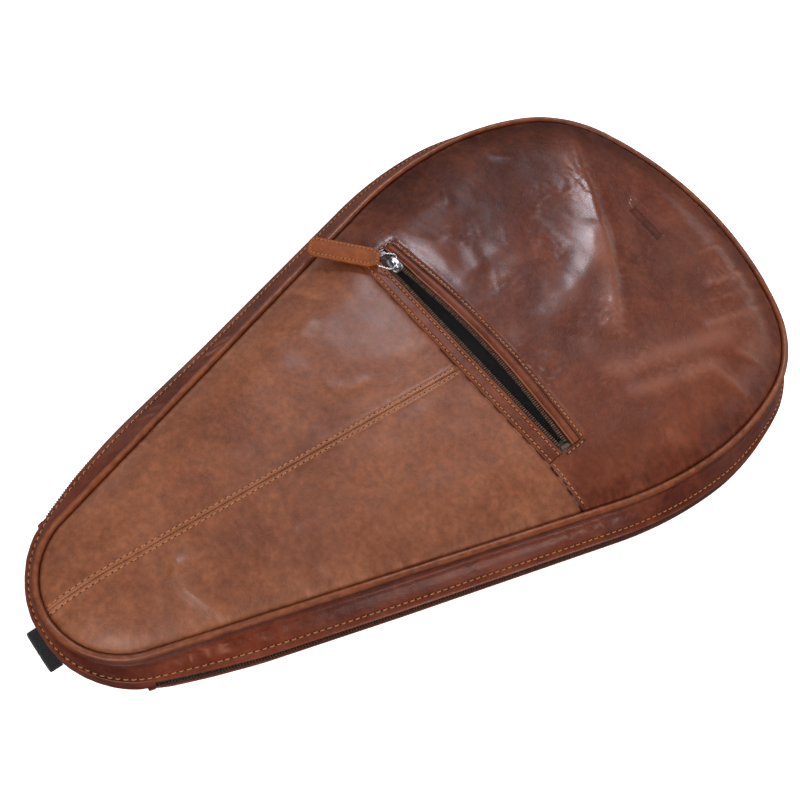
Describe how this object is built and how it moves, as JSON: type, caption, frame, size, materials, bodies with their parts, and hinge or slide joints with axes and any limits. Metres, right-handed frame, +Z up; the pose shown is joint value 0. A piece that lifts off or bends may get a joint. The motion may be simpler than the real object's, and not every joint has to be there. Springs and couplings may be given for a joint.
{
  "type": "padel racket case",
  "caption": "Teardrop leather clamshell case for a padel racket, piped edges, zip round the gusset, zipped front pocket with leather pull tab.",
  "frame": {"origin": "middle of the flat back face, on the plane the case rests on", "axes": "+Z up out of the front of the case, +Y along the long axis towards the wide head end, +X to the right seen from the front"},
  "size_m": [0.3183, 0.5698, 0.0626],
  "materials": {
    "dark_leather": "waxed pull-up leather, glossy",
    "tan_leather": "waxed pull-up leather, satin",
    "piping_leather": "satin",
    "tab_leather": "matte vegetable tanned",
    "zip_tape": "woven",
    "zip_teeth": "antique bronze",
    "nickel": "polished nickel",
    "lining": "woven lining",
    "foam": "closed-cell foam",
    "webbing": "woven webbing"
  },
  "bodies": {
    "back_shell": {"back_panel": "tan_leather", "back_piping": "piping_leather", "back_gusset": "dark_leather", "back_zip_tape": "zip_tape", "back_zip_teeth": "zip_teeth", "tip_gusset": "dark_leather", "back_padding": "foam", "back_lining": "lining", "tip_webbing_loop": "webbing", "head_webbing_loop": "webbing", "zip_end_left": "zip_teeth", "zip_end_right": "zip_teeth"},
    "front_cover": {"upper_front_panel": "dark_leather", "lower_left_panel": "tan_leather", "lower_right_panel": "tan_leather", "centre_seam_tape": "zip_tape", "front_piping": "piping_leather", "front_gusset": "dark_leather", "front_zip_tape": "zip_tape", "front_zip_teeth": "zip_teeth", "front_padding": "foam", "front_lining": "lining", "pocket_placket": "tan_leather", "pocket_lip": "dark_leather", "pocket_tape_lower": "zip_tape", "pocket_tape_upper": "zip_tape", "pocket_teeth_lower": "zip_teeth", "pocket_teeth_upper": "zip_teeth", "pocket_stop_left": "nickel", "pocket_stop_right": "nickel", "pocket_bag": "lining"},
    "main_slider_left": {"main_slider_left": "nickel"},
    "main_slider_right": {"main_slider_right": "nickel"},
    "main_pull_left": {"main_pull_left_loop": "nickel", "main_pull_left_tab": "tab_leather"},
    "main_pull_right": {"main_pull_right_loop": "nickel", "main_pull_right_tab": "tab_leather"},
    "pocket_slider": {"pocket_slider": "nickel"},
    "pocket_pull": {"pocket_pull_loop": "nickel", "pocket_pull_tab": "tab_leather"}
  },
  "joints": [
    {"name": "cover_hinge", "type": "hinge", "parent": "back_shell", "child": "front_cover", "pos_m": [0, -0.2665, 0.022], "axis": [1, 0, 0], "range_deg": [0, 90]},
    {"name": "main_zip_left", "type": "hinge", "parent": "back_shell", "child": "main_slider_left", "pos_m": [0, 0.04378, 0.022], "axis": [0, 0, 1], "range_deg": [0, 20]},
    {"name": "main_zip_right", "type": "hinge", "parent": "back_shell", "child": "main_slider_right", "pos_m": [0, 0.04378, 0.022], "axis": [0, 0, 1], "range_deg": [-20, 0]},
    {"name": "main_pull_left_swing", "type": "hinge", "parent": "main_slider_left", "child": "main_pull_left", "pos_m": [-0.00737, 0.26758, 0.022], "axis": [0.1736, 0.0057, -0.9848], "range_deg": [0, 80]},
    {"name": "main_pull_right_swing", "type": "hinge", "parent": "main_slider_right", "child": "main_pull_right", "pos_m": [0.00737, 0.26758, 0.022], "axis": [0.1736, -0.0057, 0.9848], "range_deg": [0, 80]},
    {"name": "pocket_zip", "type": "slide", "parent": "front_cover", "child": "pocket_slider", "axis": [0.9985, 0.0541, 0], "range_m": [0, 0.148]},
    {"name": "pocket_pull_swing", "type": "hinge", "parent": "pocket_slider", "child": "pocket_pull", "pos_m": [-0.07481, 0.03147, 0.0606], "axis": [-0.682, 0.7314, 0], "range_deg": [0, 120]}
  ]
}
